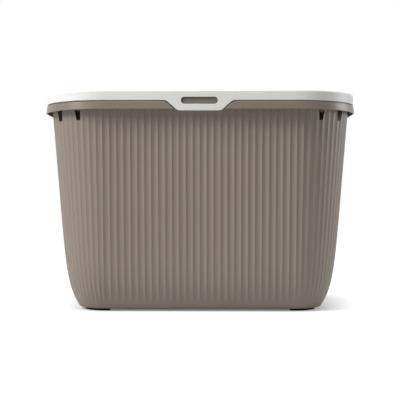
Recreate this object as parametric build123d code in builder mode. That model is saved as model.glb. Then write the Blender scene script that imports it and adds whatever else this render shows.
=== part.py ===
"""Top entry litter box.

A tall fluted tub stands on four rubber pads. A rim frame snaps over the tub's flange, and a lid
turns on two pins at the back of that frame. The lid's front tab closes over a catch on the frame.
A slotted tread panel with the entry hole drops into the lid, and lifts out to be cleaned.

Every plan outline is the same rectangle of corner centres, grown by a radius, so walls that nest
differ only in that radius. Millimetres, +Z up, the front faces -Y, and the floor is z = 0.
"""

import os
from math import atan2, cos, degrees, pi, sin, sqrt

from build123d import *

os.makedirs("parts", exist_ok=True)

# Overall sizes, over the lower edge of the rim band
length = 580.0
depth = 393.0
rim_radius = 115.7

# Tub
foot_stand = 4.6
tub_height = 382.0
wall_slope = 0.0835
belly_inset = 21.1
belly_power = 11.8
belly_height = 107.0
belly_sections = 6
belly_section_power = 1.6
wall = 2.2
floor_wall = 3.4
flange_reach = 2.6
flange_gap = 0.7
flange_wall = 2.6

# Flutes round the tub
long_side_flutes = 28
corner_flutes = 13
flute_depth_share = 0.135
flute_start = 9.0
flute_full = 33.0
flute_least_share = 0.02

# Windows in the tub's corners that the rim frame's hooks snap into
window_offsets = (40.2, 76.4)
window_drop = 36.0
window_height = 26.0
window_width_low = 7.2
window_width_high = 12.5

# Rubber pads under the corners
pad_radius = 42.0
pad_width = 14.0
pad_sweep = 94.0
pad_pocket = 1.2
pad_clearance = 0.3
pad_round = 0.6

# Rim frame
frame_wall = 2.4
band_height = 14.0
band_draft = 1.9
upstand_height = 9.5
return_depth = 7.0
return_gap = 0.8
hook_width = 5.0
hook_side_gap = 1.4
hook_wall = 3.4
hook_gap = 0.6
nib_height = 3.6
nib_reach = 3.0
nib_gap = 0.3

# Lid
lid_wall = 2.4
lid_rise = 10.7
lid_inset = 2.2
lid_top_round = 3.4
joint_gap = 1.8
lift_gap = 0.3
skirt_gap = 0.5
border_width = 26.5
ledge_width = 12.0
seat_rib_inset = 5.6
seat_rib = 2.0

# Front tab and its catch
tab_half_width = 59.5
tab_half_width_low = 38.8
tab_drop = 18.3
tab_round = 13.0
tab_side_gap = 1.0
slot_length = 65.7
slot_height = 12.4
slot_drop = 0.2
catch_side_gap = 1.6
catch_top_gap = 1.7
catch_low_gap = 0.7
catch_stand = 0.7
catch_gap = 0.3

# Hinges
knuckle_clearance = 1.2
hinge_drop = 2.3
hinge_spacing = 240.0
knuckle_width = 24.0
knuckle_radius = 4.8
knuckle_web = 8.5
ear_width = 5.0
ear_radius = 4.6
ear_drop = 11.0
ear_root = 0.4
hinge_side_gap = 0.5
pin_radius = 2.0
pin_running_gap = 0.08
pin_head_radius = 3.4
pin_head = 1.6
pin_end = 1.0

# Tread panel
panel_wall = 2.5
panel_gap = 0.5
entry_length = 232.0
entry_depth = 214.0
entry_corner = 72.0
entry_margin = 18.8
collar_width = 5.0
collar_rise = 3.0
collar_drop = 6.0
collar_round = 1.2
drain_width = 6.0
drain_length = 58.0
drain_bridge = 10.0
drain_land = 9.5
drain_end_margin = 36.8
drain_side_margin = 30.0
drain_entry_gap = 30.0
tread_width = 3.0
tread_rise = 2.2
panel_rib = 2.0
panel_rib_depth = 5.0
panel_rib_gap = 1.4

# Worked out from the sizes above
corner_x = length / 2 - rim_radius
corner_y = depth / 2 - rim_radius
flute_pitch = 2 * corner_x / long_side_flutes
short_side_flutes = round(2 * corner_y / flute_pitch)
flute_depth = flute_depth_share * flute_pitch

z_base = foot_stand
z_floor = z_base + floor_wall
z_seat = z_base + tub_height
z_flange = z_seat - flange_wall
z_frame_top = z_seat + frame_wall
z_shoulder = z_frame_top - upstand_height
z_band = z_shoulder - band_height
z_lid_seat = z_frame_top + lift_gap
z_ledge = z_lid_seat + lid_wall
z_panel = z_ledge + lift_gap
z_panel_top = z_panel + panel_wall
z_lid_top = z_lid_seat + lid_rise
z_skirt = z_shoulder + joint_gap
z_tab = z_skirt - tab_drop
z_slot = z_skirt - slot_drop
z_hinge = z_skirt - hinge_drop
z_window = z_flange - window_drop
z_window_top = z_window + window_height

wall_height = z_flange - z_base
shoulder_radius = rim_radius - band_draft
lid_radius = rim_radius - lid_inset
skirt_radius = lid_radius - lid_wall
upstand_radius = skirt_radius - skirt_gap
flange_radius = upstand_radius - frame_wall - flange_gap
tub_top_radius = flange_radius - flange_reach
pocket_radius = skirt_radius - catch_gap - catch_stand
border_radius = lid_radius - border_width
ledge_radius = border_radius - ledge_width
panel_radius = border_radius - panel_gap
panel_rib_radius = ledge_radius - panel_rib_gap
pin_hole = pin_radius + pin_running_gap

entry_centre = corner_x + panel_radius - entry_margin - collar_width - entry_length / 2
drain_start = drain_end_margin - corner_x - panel_radius
drain_end = entry_centre - entry_length / 2 - collar_width - drain_entry_gap
drain_centre = (drain_start + drain_end) / 2
drain_column_pitch = drain_width + drain_land
drain_row_pitch = drain_length + drain_bridge
drain_columns = int((drain_end - drain_start + drain_land) / drain_column_pitch)
drain_rows = int((2 * (corner_y + panel_radius - drain_side_margin) + drain_bridge) / drain_row_pitch)

front_reach = corner_y + rim_radius
hinge_y = corner_y + lid_radius + knuckle_radius + knuckle_clearance
rear_reach = hinge_y + knuckle_radius
centre_y = (front_reach - rear_reach) / 2
across = length + depth
ear_outer = knuckle_width / 2 + hinge_side_gap + ear_width
hinge_xs = (-hinge_spacing / 2, hinge_spacing / 2)
corners = [(side_x, side_y) for side_y in (-1, 1) for side_x in (-1, 1)]
corner_names = ["front_left", "front_right", "rear_left", "rear_right"]


def level(z):
    """Horizontal plane at a height, centred on the tub."""
    return Plane(origin=(0, centre_y, z))


def from_the_front(y):
    """Upright plane facing the front, y from the tub's middle: its own y is height off the floor."""
    return Plane(origin=(0, centre_y + y, 0), x_dir=(1, 0, 0), z_dir=(0, -1, 0))


def from_the_side(x):
    """Upright plane across the box: its own x runs to the back, and its own y is the height."""
    return Plane(origin=(x, centre_y, 0), x_dir=(0, 1, 0), z_dir=(1, 0, 0))


def outline(radius, mode=Mode.ADD):
    """The plan outline at one radius, for use inside a sketch."""
    return RectangleRounded(2 * (corner_x + radius), 2 * (corner_y + radius), radius, mode=mode)


def wall_radius(z):
    """Radius of the flutes' ridges: a steady slope, then a belly that tucks under at the base."""
    fall = z_flange - z
    return tub_top_radius - wall_slope * fall - belly_inset * (fall / wall_height) ** belly_power


def cavity_radius(z):
    """Radius of the smooth inside wall at a height."""
    return wall_radius(z) - flute_depth - wall


def band_radius(z):
    """Outer radius of the rim band, which draws in towards its shoulder."""
    return rim_radius - band_draft * (z - z_band) / band_height


def flute_share(z):
    """How much of its full depth a flute has at a height: it runs out above the base."""
    rise = min(1.0, max(0.0, (z - flute_start) / (flute_full - flute_start)))
    return flute_least_share + (1 - flute_least_share) * rise * rise * (3 - 2 * rise)


def side_stations(start, end, outward, count):
    """Flutes along a straight side: ridge, valley and ridge of each, as (point, direction) pairs."""
    for flute in range(count):
        shares = [(flute + part) / count for part in (0, 0.5, 1)]
        yield [
            ((start[0] + (end[0] - start[0]) * s, start[1] + (end[1] - start[1]) * s), outward)
            for s in shares
        ]


def corner_stations(centre, start_angle):
    """Flutes round one corner: ridge, valley and ridge of each, as (point, direction) pairs."""
    for flute in range(corner_flutes):
        angles = [start_angle + (flute + part) / corner_flutes * pi / 2 for part in (0, 0.5, 1)]
        yield [(centre, (cos(angle), sin(angle))) for angle in angles]


def flute_stations():
    """Every flute in order round the tub, with its pitch at radius zero and per unit of radius."""
    centres = [(corner_x, corner_y), (-corner_x, corner_y), (-corner_x, -corner_y), (corner_x, -corner_y)]
    counts = [long_side_flutes, short_side_flutes, long_side_flutes, short_side_flutes]
    for quarter, count in enumerate(counts):
        start = centres[quarter]
        end = centres[(quarter + 1) % len(centres)]
        angle = quarter * pi / 2
        side_length = abs(end[0] - start[0]) + abs(end[1] - start[1])
        outward = (cos(angle + pi / 2), sin(angle + pi / 2))
        for stations in corner_stations(start, angle):
            yield stations, 0.0, pi / 2 / corner_flutes
        for stations in side_stations(start, end, outward, count):
            yield stations, side_length / count, 0.0


def at_radius(station, radius):
    """The point that a station reaches at one radius."""
    (base_x, base_y), (out_x, out_y) = station
    return (base_x + radius * out_x, base_y + radius * out_y)


def fluted_section(z):
    """The tub's outer section at a height, one hollow arc for each flute."""
    ridge = wall_radius(z)
    with BuildSketch(level(z)) as section:
        with BuildLine():
            for (first, middle, last), pitch, pitch_per_radius in flute_stations():
                flute = (pitch + pitch_per_radius * ridge) * flute_depth_share * flute_share(z)
                ThreePointArc(
                    at_radius(first, ridge), at_radius(middle, ridge - flute), at_radius(last, ridge)
                )
        make_face()
    return section.sketch


def tab_section(y, side_gap, drop, top):
    """The front tab's face, with slanting sides that curve out into the skirt's lower edge."""
    wide = tab_half_width + side_gap
    narrow = tab_half_width_low + side_gap
    shoulder = z_skirt - drop
    foot = z_tab - drop
    with BuildSketch(from_the_front(y)) as section:
        with BuildLine():
            FilletPolyline(
                (0, foot),
                (narrow, foot),
                (wide, shoulder),
                (wide + tab_round, shoulder),
                radius=tab_round,
            )
            Polyline((wide + tab_round, shoulder), (wide + tab_round, top), (0, top))
            mirror(about=Plane.YZ)
        make_face()
    return section.sketch


def window_section():
    """The windows seen from the front: upright inner edges, and outer edges that slant."""
    with BuildSketch(from_the_front(0)) as section:
        for side in (-1, 1):
            for offset_x in window_offsets:
                inner = corner_x + offset_x
                with BuildLine():
                    Polyline(
                        (side * inner, z_window),
                        (side * (inner + window_width_low), z_window),
                        (side * (inner + window_width_high), z_window_top),
                        (side * inner, z_window_top),
                        close=True,
                    )
                make_face()
    return section.sketch


def pad_section(z, side_x, side_y, clearance):
    """One pad's footprint: an arc round its corner's centre, with round ends."""
    start = degrees(atan2(side_y, side_x)) - pad_sweep / 2
    middle = pad_radius - pad_width / 2
    with BuildSketch(level(z)) as section:
        with Locations(Location((side_x * corner_x, side_y * corner_y, 0), (0, 0, start))):
            SlotArc(CenterArc((0, 0), middle, 0, pad_sweep), pad_width + 2 * clearance)
    return section.sketch


def ear_section(x):
    """Side face of a hinge ear: an eye round the pin, on an arm that runs down into the band."""
    root = corner_y + shoulder_radius - ear_root
    with BuildSketch(from_the_side(x)) as section:
        with Locations((hinge_y, z_hinge)):
            Circle(ear_radius)
        with BuildLine():
            Polyline(
                (root, z_shoulder),
                (hinge_y, z_hinge + ear_radius),
                (hinge_y + ear_radius, z_hinge),
                (root, z_hinge - ear_drop),
                close=True,
            )
        make_face()
    return section.sketch


def knuckle_section(x):
    """Side face of a lid knuckle: a barrel round the pin, on a web that runs up the lid's skirt."""
    root = corner_y + lid_radius - lid_wall / 2
    slant = knuckle_radius / sqrt(2)
    with BuildSketch(from_the_side(x)) as section:
        with Locations((hinge_y, z_hinge)):
            Circle(knuckle_radius)
        with BuildLine():
            Polyline(
                (root, z_skirt),
                (hinge_y, z_skirt),
                (hinge_y + slant, z_hinge + slant),
                (root, z_skirt + knuckle_web),
                close=True,
            )
        make_face()
    return section.sketch


# Heights of the sections that shape the tub's belly, closer together near the base
belly_levels = [
    z_base + belly_height * (step / belly_sections) ** belly_section_power
    for step in range(belly_sections + 1)
]
cavity_levels = [z_floor] + [z for z in belly_levels if z > z_floor]

with BuildPart() as tub:
    for z in belly_levels:
        add(fluted_section(z))
    loft()
    for z in (belly_levels[-1], z_flange):
        add(fluted_section(z))
    loft(ruled=True)
    with BuildSketch(level(z_flange)):
        outline(flange_radius)
    extrude(amount=flange_wall)

    # The inside is smooth
    for z in cavity_levels:
        with BuildSketch(level(z)):
            outline(cavity_radius(z))
    loft(mode=Mode.SUBTRACT)
    for z in (cavity_levels[-1], z_flange):
        with BuildSketch(level(z)):
            outline(cavity_radius(z))
    loft(ruled=True, mode=Mode.SUBTRACT)
    with BuildSketch(level(z_flange)):
        outline(cavity_radius(z_flange))
    extrude(amount=flange_wall, mode=Mode.SUBTRACT)

    # Windows for the frame's hooks
    extrude(window_section(), amount=across, both=True, mode=Mode.SUBTRACT)

    # Shallow pockets that hold the rubber pads
    for side_x, side_y in corners:
        extrude(
            pad_section(z_base, side_x, side_y, pad_clearance), amount=pad_pocket, mode=Mode.SUBTRACT
        )

with BuildPart() as rim_frame:
    # Band, then the upstand behind its shoulder
    for z in (z_band, z_shoulder):
        with BuildSketch(level(z)):
            outline(band_radius(z))
    loft(ruled=True)
    with BuildSketch(level(z_shoulder)):
        outline(upstand_radius)
    extrude(amount=upstand_height)

    # Space inside the band and inside the upstand
    for z in (z_band, z_shoulder - frame_wall):
        with BuildSketch(level(z)):
            outline(band_radius(z) - frame_wall)
    loft(ruled=True, mode=Mode.SUBTRACT)
    with BuildSketch(level(z_band)):
        outline(upstand_radius - frame_wall)
    extrude(amount=z_seat - z_band, mode=Mode.SUBTRACT)

    # Opening, with a lip that hangs inside the tub
    with BuildSketch(level(z_seat - return_depth)):
        outline(cavity_radius(z_flange) - return_gap)
    extrude(amount=return_depth)
    with BuildSketch(level(z_seat - return_depth)):
        outline(cavity_radius(z_flange) - return_gap - frame_wall)
    extrude(amount=return_depth + frame_wall, mode=Mode.SUBTRACT)

    # Hooks for the tub's windows: legs outside the wall, with nibs that reach through
    hook_outer = wall_radius(z_shoulder) + hook_gap + hook_wall
    hook_inner = wall_radius(z_shoulder) + hook_gap
    nib_inner = wall_radius(z_window_top) - nib_reach
    z_nib_top = z_window_top - nib_gap
    z_hook = z_nib_top - nib_height
    hook_xs = [
        side * (corner_x + offset_x + hook_side_gap + hook_width / 2)
        for side in (-1, 1)
        for offset_x in window_offsets
    ]
    for z, top, inner in ((z_hook, z_shoulder, hook_inner), (z_hook, z_nib_top, nib_inner)):
        with BuildSketch(level(z)):
            with Locations([(x, 0) for x in hook_xs]):
                Rectangle(hook_width, across)
            outline(hook_outer, mode=Mode.INTERSECT)
            outline(inner, mode=Mode.SUBTRACT)
        extrude(amount=top - z)

    # Front pocket for the lid's tab, walled behind and at the sides, open below
    back_y = -corner_y - pocket_radius
    pocket_wall = tab_section(
        back_y + frame_wall, tab_side_gap + frame_wall, joint_gap + frame_wall, z_shoulder
    )
    extrude(pocket_wall, amount=shoulder_radius - pocket_radius + frame_wall)
    with BuildSketch(level(z_band)):
        Rectangle(across, across)
    extrude(amount=-band_height, mode=Mode.SUBTRACT)
    extrude(
        tab_section(back_y, tab_side_gap, joint_gap, z_frame_top),
        amount=across,
        mode=Mode.SUBTRACT,
    )

    # Catch that shows through the slot in the tab
    catch_length = slot_length - 2 * catch_side_gap
    catch_height = slot_height - catch_low_gap - catch_top_gap
    with BuildSketch(from_the_front(back_y)):
        with Locations((0, z_slot + (catch_low_gap - catch_top_gap) / 2)):
            SlotOverall(catch_length, catch_height)
    extrude(amount=catch_stand)

    # Two ears for each hinge pin
    for x in hinge_xs:
        for start in (x - ear_outer, x + ear_outer - ear_width):
            extrude(ear_section(start), amount=ear_width)
    with BuildSketch(from_the_side(0)):
        with Locations((hinge_y, z_hinge)):
            Circle(pin_hole)
    extrude(amount=length, both=True, mode=Mode.SUBTRACT)

with BuildPart() as lid:
    # Skirt and top, rounded over at the top edge
    with BuildSketch(level(z_skirt)):
        outline(lid_radius)
    extrude(amount=z_lid_top - z_skirt)
    fillet(lid.faces().sort_by(Axis.Z)[-1].edges(), radius=lid_top_round)
    with BuildSketch(level(z_skirt)):
        outline(skirt_radius)
    extrude(amount=z_lid_top - lid_wall - z_skirt, mode=Mode.SUBTRACT)

    # Step down to the ledge that the tread panel lies on
    with BuildSketch(level(z_lid_seat)):
        outline(border_radius + lid_wall)
    extrude(amount=lid_rise - lid_wall)
    with BuildSketch(level(z_ledge)):
        outline(border_radius)
    extrude(amount=z_lid_top - z_ledge, mode=Mode.SUBTRACT)
    with BuildSketch(level(z_lid_seat)):
        outline(ledge_radius)
    extrude(amount=lid_wall, mode=Mode.SUBTRACT)

    # Rib that the lid sits on the frame with
    with BuildSketch(level(z_lid_seat)):
        outline(skirt_radius - seat_rib_inset)
        outline(skirt_radius - seat_rib_inset - seat_rib, mode=Mode.SUBTRACT)
    extrude(amount=lid_rise - lid_wall)

    # Front tab and its slot
    extrude(tab_section(-corner_y - skirt_radius, 0, 0, z_skirt + lid_wall), amount=lid_wall)
    with BuildSketch(from_the_front(-corner_y - skirt_radius)):
        with Locations((0, z_slot)):
            SlotOverall(slot_length, slot_height)
    extrude(amount=lid_wall, mode=Mode.SUBTRACT)

    # Hinge knuckles
    for x in hinge_xs:
        extrude(knuckle_section(x), amount=knuckle_width / 2, both=True)
    with BuildSketch(from_the_side(0)):
        with Locations((hinge_y, z_hinge)):
            Circle(pin_hole)
    extrude(amount=length, both=True, mode=Mode.SUBTRACT)

with BuildPart() as tread_panel:
    # Plate with a low rim
    with BuildSketch(level(z_panel)):
        outline(panel_radius)
    extrude(amount=panel_wall)
    with BuildSketch(level(z_panel_top)):
        outline(panel_radius)
        outline(panel_radius - tread_width, mode=Mode.SUBTRACT)
    extrude(amount=tread_rise)

    # Locating rib inside the lid's ledge, and cross ribs under the bridges between the slots
    with BuildSketch(level(z_panel)):
        outline(panel_rib_radius)
        outline(panel_rib_radius - panel_rib, mode=Mode.SUBTRACT)
        with Locations((drain_centre, 0)):
            with GridLocations(0, drain_row_pitch, 1, drain_rows - 1):
                Rectangle(drain_columns * drain_column_pitch + 2 * panel_rib, panel_rib)
    extrude(amount=-panel_rib_depth)

    # Treads between the drain slots
    with BuildSketch(level(z_panel_top)):
        with Locations((drain_centre, 0)):
            with GridLocations(drain_column_pitch, 0, drain_columns - 1, 1):
                Rectangle(tread_width, (drain_rows - 1) * drain_row_pitch + drain_length)
    extrude(amount=tread_rise)

    # Entry hole with a collar that stands up and hangs down
    with BuildSketch(level(z_panel - collar_drop)):
        with Locations((entry_centre, 0)):
            RectangleRounded(
                entry_length + 2 * collar_width, entry_depth + 2 * collar_width, entry_corner + collar_width
            )
    extrude(amount=collar_drop + panel_wall + collar_rise)
    with BuildSketch(level(z_panel - collar_drop)):
        with Locations((entry_centre, 0)):
            RectangleRounded(entry_length, entry_depth, entry_corner)
    extrude(amount=collar_drop + panel_wall + collar_rise, mode=Mode.SUBTRACT)
    fillet(tread_panel.faces().sort_by(Axis.Z)[-1].edges(), radius=collar_round)

    # Drain slots that drop litter back into the tub
    with BuildSketch(level(z_panel)):
        with Locations((drain_centre, 0)):
            with GridLocations(drain_column_pitch, drain_row_pitch, drain_columns, drain_rows):
                SlotOverall(drain_length, drain_width, rotation=90)
    extrude(amount=panel_wall, mode=Mode.SUBTRACT)

for piece, name in ((tub, "tub"), (rim_frame, "rim_frame"), (lid, "lid"), (tread_panel, "tread_panel")):
    piece.part.label = name
    export_step(piece.part, f"parts/{name}.step")

for side, name in ((-1, "left"), (1, "right")):
    with BuildPart() as hinge_pin:
        with BuildSketch(from_the_side(side * (hinge_spacing / 2 - ear_outer - pin_end))):
            with Locations((hinge_y, z_hinge)):
                Circle(pin_radius)
        extrude(amount=side * (2 * ear_outer + pin_end))
        with BuildSketch(from_the_side(side * (hinge_spacing / 2 + ear_outer))):
            with Locations((hinge_y, z_hinge)):
                Circle(pin_head_radius)
        extrude(amount=side * pin_head)
    hinge_pin.part.label = f"hinge_pin_{name}"
    export_step(hinge_pin.part, f"parts/hinge_pin_{name}.step")

for (side_x, side_y), name in zip(corners, corner_names):
    with BuildPart() as foot:
        extrude(pad_section(0, side_x, side_y, 0), amount=foot_stand + pad_pocket)
        fillet(foot.faces().sort_by(Axis.Z)[0].edges(), radius=pad_round)
    foot.part.label = f"foot_{name}"
    export_step(foot.part, f"parts/foot_{name}.step")
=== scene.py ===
"""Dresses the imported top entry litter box: its moulded shells, its finishes and the studio around it.

Every shell is a surface worked out from a few sizes. Plan outlines are one rectangle of corner
centres grown by a radius, as on the real mouldings, so a section in (radius, height) carried round
that path makes the tub, the rim and the lid. Lengths are in metres, +Z is up, the front faces -Y.
"""

import bpy
import numpy as np
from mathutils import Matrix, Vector
from mathutils.geometry import tessellate_polygon


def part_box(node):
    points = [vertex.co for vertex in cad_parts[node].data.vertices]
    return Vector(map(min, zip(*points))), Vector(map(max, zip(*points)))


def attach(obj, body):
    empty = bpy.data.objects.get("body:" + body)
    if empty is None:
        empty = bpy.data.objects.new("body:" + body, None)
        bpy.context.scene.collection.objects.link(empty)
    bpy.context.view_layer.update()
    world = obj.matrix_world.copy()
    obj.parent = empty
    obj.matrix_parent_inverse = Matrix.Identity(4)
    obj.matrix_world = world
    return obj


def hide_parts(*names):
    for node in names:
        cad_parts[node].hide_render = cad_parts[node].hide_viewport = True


bl_info = {
    "name": "Top entry litter box",
    "version": (1, 0, 0),
    "blender": (4, 5, 0),
    "location": "3D View > Sidebar > Litter Box",
    "description": "Builds the fluted tub, rim, hinged lid and tread panel with their finishes",
    "category": "Add Mesh",
}

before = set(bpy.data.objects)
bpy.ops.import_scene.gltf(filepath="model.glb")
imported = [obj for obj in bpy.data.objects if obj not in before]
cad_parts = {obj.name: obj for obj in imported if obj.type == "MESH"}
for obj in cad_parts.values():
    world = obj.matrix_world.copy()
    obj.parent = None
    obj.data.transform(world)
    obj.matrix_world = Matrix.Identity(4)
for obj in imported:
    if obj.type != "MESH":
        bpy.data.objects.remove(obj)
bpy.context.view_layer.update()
MM = 0.001


def node_box(node):
    """Lowest and highest corner of a node of the frame."""
    low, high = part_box(node)
    return np.array(low), np.array(high)


# Places that come from the frame
TUB_LOW, TUB_HIGH = node_box("tub")
RIM_LOW, RIM_HIGH = node_box("rim_frame")
LID_LOW, LID_HIGH = node_box("lid")
PANEL_LOW, PANEL_HIGH = node_box("tread_panel")
PIN_LOW, PIN_HIGH = node_box("hinge_pin_right")
CENTRE_Y = (TUB_LOW[1] + TUB_HIGH[1]) / 2
HINGE_Y, HINGE_Z = (PIN_LOW[1:] + PIN_HIGH[1:]) / 2

# Places along a straight side and round a corner, as shares of each
SIDE = np.linspace(0, 1, 10, endpoint=False)
TURN = np.linspace(0, 1, 26, endpoint=False)
FRONT = -0.999  # a direction whose Y is below this faces the front
LEG_SHARE = 0.45  # the longest leg of an arc, over the shorter side at its corner

# Radii of rounded edges, and small sizes that several mouldings share
EDGE = 0.3 * MM  # on the catch, the hooks, the ears and the rim's hidden lower edges
SOFT_EDGE = 0.4 * MM  # on the knuckles, the pins, the panel's plate, the ribs and hidden corners
TREAD_EDGE = 0.6 * MM  # on the treads
WIDE_EDGE = 0.8 * MM  # on the rim's top plate and lip, and in the lid's inner corners
MERGE = 0.5 * MM  # how far treads and ribs run into the panel's plate
WALL_MERGE = 0.2 * MM  # how far the band's plate runs into the upstand
SMALL = 0.1 * MM  # the smallest step in a section
TAB_TIP = 16.4 * MM  # from where the tab's sides meet the skirt in to the band's tips

# Each plastic's roughness and its spread, grain and bump sizes, colour drift and specular level
FINISHES = {
    "Mocha tub": (0.48, 0.05, 0.7 * MM, 0.012 * MM, 0.03, 0.5),
    "Mocha rim": (0.36, 0.04, 1.1 * MM, 0.006 * MM, 0.02, 0.5),
    "Mocha pin": (0.34, 0.04, 0.6 * MM, 0.004 * MM, 0.02, 0.5),
    "White lid": (0.34, 0.04, 0.9 * MM, 0.006 * MM, 0.008, 0.3),
    "White panel": (0.42, 0.05, 0.8 * MM, 0.012 * MM, 0.01, 0.5),
    "Black rubber": (0.8, 0.06, 0.5 * MM, 0.02 * MM, 0.15, 0.1),
}
COLOUR_DRIFT, GLOSS_DRIFT = 70 * MM, 18 * MM  # sizes of the slow drifts in colour and gloss

# Each lamp's place, what it faces, its width and its height, in metres
LAMPS = {
    "key": ((-1.5, -0.9, 1.6), (0.0, 0.0, 0.2), 0.35, 1.0),
    "fill": ((1.7, 0.15, 0.8), (0.0, 0.0, 0.2), 0.8, 0.8),
    "top": ((0.0, -0.6, 1.8), (0.0, -0.3, 0.0), 1.2, 0.6),
}
FLOOR_HALF = 6.0  # half the floor's side, in metres
FLOOR_SHADE = 0.65  # how much light the floor gives back
FLOOR_FADE = 170 * MM  # from the rectangle of corner centres out to where the floor is plain white
SENSOR = 36.0  # width of the camera's sensor, in mm
WHITE = (1.0, 1.0, 1.0, 1.0)


def length(name, default, description):
    """A length property, from a default in millimetres."""
    return bpy.props.FloatProperty(
        name=name, default=default * MM, min=0.0, unit="LENGTH", precision=5, description=description
    )


def number(name, default, description):
    """A plain number property."""
    return bpy.props.FloatProperty(name=name, default=default, precision=4, description=description)


def count(name, default, description):
    """A whole number property."""
    return bpy.props.IntProperty(name=name, default=default, min=1, description=description)


def power(name, default, description):
    """A lamp's power property, in watts."""
    return bpy.props.FloatProperty(
        name=name, default=default, min=0.0, subtype="POWER", description=description
    )


def colour(name, default, description):
    """A colour property."""
    return bpy.props.FloatVectorProperty(
        name=name, default=default, size=3, min=0.0, max=1.0, subtype="COLOR", description=description
    )


class PlanSizes(bpy.types.PropertyGroup):
    """Sizes that all the mouldings share"""

    rim_radius: length("Rim corner radius", 115.7, "Corner radius at the band's lower edge")
    half_depth: length("Half depth", 196.5, "From the middle to the band's front edge")
    wall: length("Moulding wall", 2.4, "Wall thickness of the rim and the lid")
    joint: length("Joint", 1.8, "Gap between the lid's skirt and the band")


class TubSizes(bpy.types.PropertyGroup):
    """Sizes of the fluted tub"""

    top_radius: length("Top radius", 104.9, "Corner radius of the ridges at the flange")
    slope: number("Wall slope", 0.0835, "How fast the wall draws in going down")
    belly: length("Belly", 21.1, "How far the wall tucks in at the base")
    belly_power: number("Belly power", 11.8, "How late the belly starts")
    flutes_front: count("Front flutes", 28, "Flutes along the front and along the back")
    flutes_corner: count("Corner flutes", 13, "Flutes round each corner")
    flute_share: number("Flute depth share", 0.135, "Depth of a flute over its pitch")
    ridge: length("Ridge round", 0.12, "How far rounding lowers each ridge")
    flute_start: length("Flute start", 9.0, "Height where the flutes begin to show")
    flute_full: length("Flute full", 33.0, "Height where the flutes reach full depth")
    wall: length("Wall", 2.2, "Wall behind the valleys")
    floor: length("Floor", 3.4, "Floor thickness")
    base_round: length("Base round", 1.6, "Round where the wall meets the flat base")
    floor_round: length("Floor round", 3.0, "Round inside, where the wall meets the floor")
    flange: length("Flange", 2.6, "Reach and thickness of the top flange")
    window_near: length("Near window", 40.2, "From a corner's centre to the window nearer the front")
    window_far: length("Far window", 76.4, "From a corner's centre to the window nearer the end")
    window_low: length("Window foot", 348.0, "Height of the windows' lower edge")
    window_height: length("Window height", 26.0, "Height of the windows")
    window_width: length("Window width", 7.2, "Width at the lower edge")
    window_flare: length("Window flare", 5.3, "How much wider they are at the top")


class RimSizes(bpy.types.PropertyGroup):
    """Sizes of the rim that clips over the tub"""

    draft: length("Band draft", 1.9, "How far the band draws in towards its shoulder")
    lip_gap: length("Lip gap", 0.8, "Gap between the tub and the lip that hangs inside it")
    lip_depth: length("Lip depth", 7.0, "How far that lip hangs below the tub's edge")
    skirt_gap: length("Skirt gap", 0.5, "Gap between the upstand and the lid's skirt")
    low_round: length("Band lower round", 1.0, "Round on the band's lower edge")
    high_round: length("Band upper round", 1.2, "Round on the band's shoulder")
    tab_gap: length("Tab gap", 1.0, "Gap at each side of the lid's tab")
    catch_gap: length("Catch gap", 0.3, "Gap between the catch and the tab")
    catch_stand: length("Catch stand", 0.7, "How far the catch stands out of the pocket")
    catch_length: length("Catch length", 62.5, "Length of the catch")
    catch_height: length("Catch height", 10.0, "Height of the catch")
    catch_drop: length("Catch drop", 0.7, "How far its middle lies below the skirt's edge")
    hook_width: length("Hook width", 5.0, "Width of the hooks in the tub's windows")
    hook_side_gap: length("Hook side gap", 1.4, "From a window's inner edge to its hook")
    hook_wall: length("Hook wall", 3.4, "Thickness of a hook's leg")
    hook_gap: length("Hook gap", 0.6, "Gap between a leg and the tub")
    nib_height: length("Nib height", 3.6, "Height of a hook's nib")
    nib_reach: length("Nib reach", 3.0, "How far a nib reaches through its window")
    nib_gap: length("Nib gap", 0.3, "Gap over a nib")


class HingeSizes(bpy.types.PropertyGroup):
    """Sizes of the two hinges at the back"""

    spacing: length("Spacing", 240.0, "Between the two hinges")
    knuckle_width: length("Knuckle width", 24.0, "Width of the lid's knuckle")
    knuckle_radius: length("Knuckle radius", 4.8, "Radius of the lid's knuckle")
    web: length("Web", 8.5, "How far the knuckle's web runs up the skirt")
    ear_width: length("Ear width", 5.0, "Width of an ear")
    ear_radius: length("Ear radius", 4.6, "Radius of an ear's eye")
    ear_drop: length("Ear drop", 11.0, "How far an ear's arm runs down the band")
    side_gap: length("Side gap", 0.5, "Gap at each side of a knuckle")
    pin_radius: length("Pin radius", 2.0, "Radius of a pin")
    pin_gap: length("Pin gap", 0.08, "Clearance round a pin")
    head_radius: length("Head radius", 3.4, "Radius of a pin's head")
    head: length("Head", 1.6, "Thickness of a pin's head")


class LidSizes(bpy.types.PropertyGroup):
    """Sizes of the lid and its tab"""

    inset: length("Inset", 2.2, "How far the lid stands behind the band's lower edge")
    top_round: length("Top round", 3.4, "Round over the lid's top edge")
    border: length("Border", 26.5, "Width of the flat border round the panel")
    ledge: length("Ledge", 12.0, "Width of the ledge under the panel")
    lift: length("Lift", 0.3, "Gap under the lid's rib and under the panel")
    rib: length("Seat rib", 2.0, "Thickness of the rib that the lid sits on")
    rib_inset: length("Seat rib inset", 5.6, "From the skirt's inside to that rib")
    tab_half: length("Tab half width", 59.5, "Half width where the tab's sides meet the skirt")
    tab_half_low: length("Tab lower half width", 38.8, "Half width where the sides meet its foot")
    tab_drop: length("Tab drop", 18.3, "How far the tab hangs below the skirt")
    tab_round: length("Tab round", 13.0, "Radius of the curves in the tab's sides")
    slot_length: length("Slot length", 65.7, "Length of the slot in the tab")
    slot_height: length("Slot height", 12.4, "Height of the slot in the tab")
    slot_drop: length("Slot drop", 0.2, "How far the slot's middle lies below the skirt's edge")
    slot_round: length("Slot round", 0.6, "Round on the slot's outer edge")


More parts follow.
